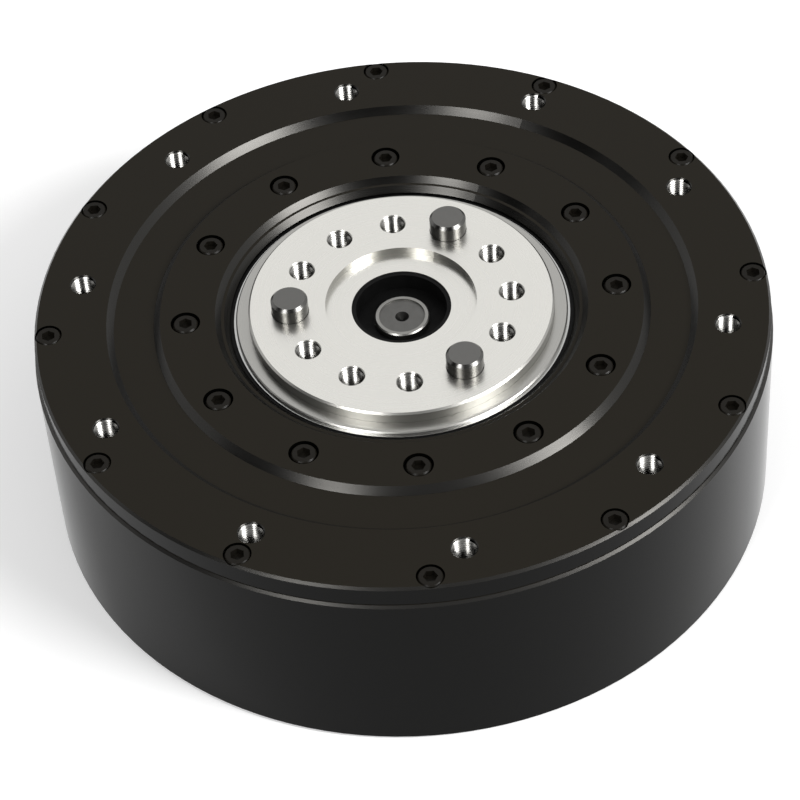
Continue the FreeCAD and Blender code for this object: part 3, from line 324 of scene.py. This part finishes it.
def dress_nodes():
    """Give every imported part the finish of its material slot, and three of them one of their own."""
    made = {slot: plain_finish(slot, **look) for slot, look in FINISHES.items()}
    for slot, level in SPECULAR.items():
        made[slot].fix("Specular IOR Level", level)
    # Painted light and sheen on the black casing, by the way each face points
    paint_light_and_sheen(made["black_anodised"])
    flange = made["machined_aluminium"]
    # Painted shade: the walls of the flange are darker than its faces
    flange.recolour(flange.leaning(), ALUMINIUM_WALL_PAINTED_SHADE)
    for part in frame["record"]["subparts"]:
        wear(frame["nodes"][part["node"]], made[part["material_slot"]])
    wear(frame["nodes"]["planet_pins"], dulled_steel("pin_steel", colour=PIN_STEEL))
    wear(frame["nodes"]["sun_shaft"], shaft_steel())
    ring = plain_finish("ring_steel", **{**FINISHES["machined_aluminium"], "colour": GREY_STEEL})
    wear(frame["nodes"]["output_clamp_ring"], ring)
    return made


# Pieces
SHARP_EDGE = math.radians(30)
# Thread inserts: a ridge that is wide at the wall of the hole and narrow at its crest.
# Its corners are given as depths below the start of a turn.
THREAD_PITCH = 0.5 * MM
THREAD_ROOT = HOLE_RADIUS - 0.02 * MM
THREAD_CREST = HOLE_RADIUS - 0.28 * MM
ROOT_TOP = 0.02 * MM
CREST_TOP = 0.28 * MM
CREST_BOTTOM = 0.34 * MM
ROOT_BOTTOM = 0.48 * MM
THREAD_TURNS = 11
THREAD_STEPS = 32
THREAD_SINK = 0.2 * MM


def placed(name, data):
    """A new object of the scene."""
    made = bpy.data.objects.new(name, data)
    bpy.context.scene.collection.objects.link(made)
    return made


def coil(shape, place, profile):
    """Wind a closed profile of (radius, drop) points down a hole and cap its two ends."""
    rows = []
    for step in range(THREAD_TURNS * THREAD_STEPS + 1):
        angle = TURN * step / THREAD_STEPS
        drop = THREAD_PITCH * step / THREAD_STEPS
        rows.append([
            shape.verts.new(place + Vector((r * math.cos(angle), r * math.sin(angle), -drop - d)))
            for r, d in profile
        ])
    size = len(profile)
    for above, below in zip(rows, rows[1:]):
        for k in range(size):
            shape.faces.new((above[k], above[(k + 1) % size], below[(k + 1) % size], below[k]))
    shape.faces.new(rows[0])
    shape.faces.new(list(reversed(rows[-1])))


def add_threads(name, circle, mouth, angles, surface, body):
    """Bare metal thread inserts in a circle of tapped holes, as one piece that rides on a body."""
    profile = [
        (THREAD_ROOT, ROOT_TOP),
        (THREAD_ROOT, ROOT_BOTTOM),
        (THREAD_CREST, CREST_BOTTOM),
        (THREAD_CREST, CREST_TOP),
    ]
    shape = bmesh.new()
    for angle in angles:
        place = Vector((circle * math.cos(angle), circle * math.sin(angle), mouth - THREAD_SINK))
        coil(shape, place, profile)
    bmesh.ops.recalc_face_normals(shape, faces=shape.faces)
    mesh = bpy.data.meshes.new(name)
    shape.to_mesh(mesh)
    shape.free()
    mesh.shade_smooth()
    mesh.set_sharp_from_angle(angle=SHARP_EDGE)
    piece = placed(name, mesh)
    wear(piece, surface)
    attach(piece, body)


# Studio
def place_camera():
    right = Vector((1, 0, 0))
    back = Vector((0, -math.cos(CAMERA_ELEVATION), math.sin(CAMERA_ELEVATION)))
    up = Vector((0, math.sin(CAMERA_ELEVATION), math.cos(CAMERA_ELEVATION)))
    place = BODY_RADIUS * (back * CAMERA_DISTANCE - right * CAMERA_RIGHT - up * CAMERA_UP)
    place += Vector((0, 0, FRONT_FACE))
    rolled_right = right * math.cos(CAMERA_ROLL) - up * math.sin(CAMERA_ROLL)
    rolled_up = right * math.sin(CAMERA_ROLL) + up * math.cos(CAMERA_ROLL)
    axes = Matrix((rolled_right, rolled_up, back)).transposed().to_4x4()
    lens = bpy.data.cameras.new("camera")
    lens.sensor_width = SENSOR_MM
    lens.lens = FOCAL_PIXELS / IMAGE_PIXELS * SENSOR_MM
    camera = placed("camera", lens)
    camera.matrix_world = Matrix.Rotation(CAMERA_TURN, 4, "Z") @ Matrix.Translation(place) @ axes
    bpy.context.scene.camera = camera


def seen_directly(tree):
    """1 for rays that show the background itself, in the lens, in a reflection or through glass."""
    path = tree.nodes.new("ShaderNodeLightPath")
    total = path.outputs["Is Camera Ray"]
    for name in ("Is Glossy Ray", "Is Transmission Ray"):
        add = tree.nodes.new("ShaderNodeMath")
        add.operation = "ADD"
        add.use_clamp = True
        tree.links.new(total, add.inputs[0])
        tree.links.new(path.outputs[name], add.inputs[1])
        total = add.outputs[0]
    return total


WORLD_LIGHT = 0.45


def light_world():
    """An even light on the object, in front of a white background."""
    world = bpy.data.worlds.new("studio")
    bpy.context.scene.world = world
    world.use_nodes = True
    tree = world.node_tree
    soft = tree.nodes["Background"]
    soft.inputs["Color"].default_value = WHITE
    soft.inputs["Strength"].default_value = WORLD_LIGHT
    white = tree.nodes.new("ShaderNodeBackground")
    mix = tree.nodes.new("ShaderNodeMixShader")
    white.inputs["Color"].default_value = WHITE
    white.inputs["Strength"].default_value = 1.0
    tree.links.new(seen_directly(tree), mix.inputs["Fac"])
    tree.links.new(soft.outputs[0], mix.inputs[1])
    tree.links.new(white.outputs[0], mix.inputs[2])
    tree.links.new(mix.outputs[0], tree.nodes["World Output"].inputs["Surface"])


HALF_METRE = 0.5


def flat_sheet(name, width, height, surface):
    """A flat sheet of the studio, which isn't part of the object."""
    shape = bmesh.new()
    bmesh.ops.create_grid(shape, x_segments=1, y_segments=1, size=HALF_METRE)
    bmesh.ops.scale(shape, vec=(width, height, 1), verts=shape.verts)
    mesh = bpy.data.meshes.new(name)
    shape.to_mesh(mesh)
    shape.free()
    sheet = placed(name, mesh)
    wear(sheet, surface)
    return sheet


FLOOR_SIZE = 6.0
FLOOR_DROP = 0.2 * MM
FLOOR_COLOUR = (0.92, 0.92, 0.92, 1)
FLOOR_ROUGHNESS = 0.9
# The floor's own glow near the object and far from it, and the radii between which it changes
GLOW_NEAR = 0.22
GLOW_FAR = 0.5
GLOW_START = 0.07
GLOW_END = 0.22


def lay_floor():
    """A pale floor that takes the object's shadow and turns white further out."""
    surface = Surface("floor")
    surface.fix("Base Color", FLOOR_COLOUR)
    surface.fix("Roughness", FLOOR_ROUGHNESS)
    surface.fix("Specular IOR Level", 0.0)
    surface.fix("Emission Color", WHITE)
    glow = surface.ranged(surface.radius(), GLOW_NEAR, GLOW_FAR, GLOW_START, GLOW_END)
    seen = surface.times(seen_directly(surface.tree), glow)
    surface.join(seen, surface.shader.inputs["Emission Strength"])
    floor = flat_sheet("floor", FLOOR_SIZE, FLOOR_SIZE, surface)
    floor.location.z = -FLOOR_DROP


def direction(side, elevation):
    """The way from the object to a place in the studio, in degrees to the camera's right and up."""
    turn = math.radians(side - 90) + CAMERA_TURN
    rise = math.radians(elevation)
    return Vector((math.cos(turn) * math.cos(rise), math.sin(turn) * math.cos(rise), math.sin(rise)))


# Places and tilt in degrees, power in watts
LAMPS = {
    "right": dict(side=60, elevation=38.5, tilt=-45, width=0.76, height=0.3, power=12),
    "left": dict(side=-36, elevation=44, tilt=0, width=0.38, height=0.32, power=4.4),
}
LAMP_DISTANCE = 1.2


def hang_lamps():
    target = Vector((0, 0, FRONT_FACE / 2))
    for name, look in LAMPS.items():
        lamp = bpy.data.lights.new(name, "AREA")
        lamp.shape = "ELLIPSE"
        lamp.size = look["width"]
        lamp.size_y = look["height"]
        lamp.energy = look["power"]
        holder = placed(name, lamp)
        out = direction(look["side"], look["elevation"])
        tilt = Matrix.Rotation(math.radians(look["tilt"]), 3, "Z")
        holder.location = target + out * LAMP_DISTANCE
        holder.rotation_euler = (out.to_track_quat("Z", "Y").to_matrix() @ tilt).to_euler()


# Black cards, with their places in degrees, and the rays that don't show them
FLAGS = {
    "flag_0": dict(side=8, elevation=58, width=1.5, height=1.0),
    "flag_1": dict(side=-66, elevation=42, width=0.9, height=1.0),
    "flag_2": dict(side=-115, elevation=45, width=1.2, height=1.0),
}
FLAG_DISTANCE = 1.5
FLAG_HIDDEN_FROM = ("camera", "diffuse", "transmission", "volume_scatter", "shadow")


def hang_flags():
    """Black cards that only reflections show, so that bright metal has dark edges."""
    surface = Surface("flag")
    surface.fix("Base Color", BLACK)
    surface.fix("Roughness", 1.0)
    surface.fix("Specular IOR Level", 0.0)
    for name, look in FLAGS.items():
        flag = flat_sheet(name, look["width"], look["height"], surface)
        out = direction(look["side"], look["elevation"])
        flag.location = out * FLAG_DISTANCE
        flag.rotation_euler = out.to_track_quat("Z", "Y").to_euler()
        for ray in FLAG_HIDDEN_FROM:
            setattr(flag, f"visible_{ray}", False)


finishes = dress_nodes()
threads = finishes["thread_metal"]
add_threads("rim_threads", RIM_CIRCLE, FRONT_FACE, RIM_ANGLES, threads, "casing")
add_threads("output_threads", PIN_CIRCLE, FLANGE_FACE, OUTPUT_ANGLES, threads, "output")
place_camera()
light_world()
lay_floor()
hang_lamps()
hang_flags()
bpy.context.scene.view_settings.view_transform = "Standard"
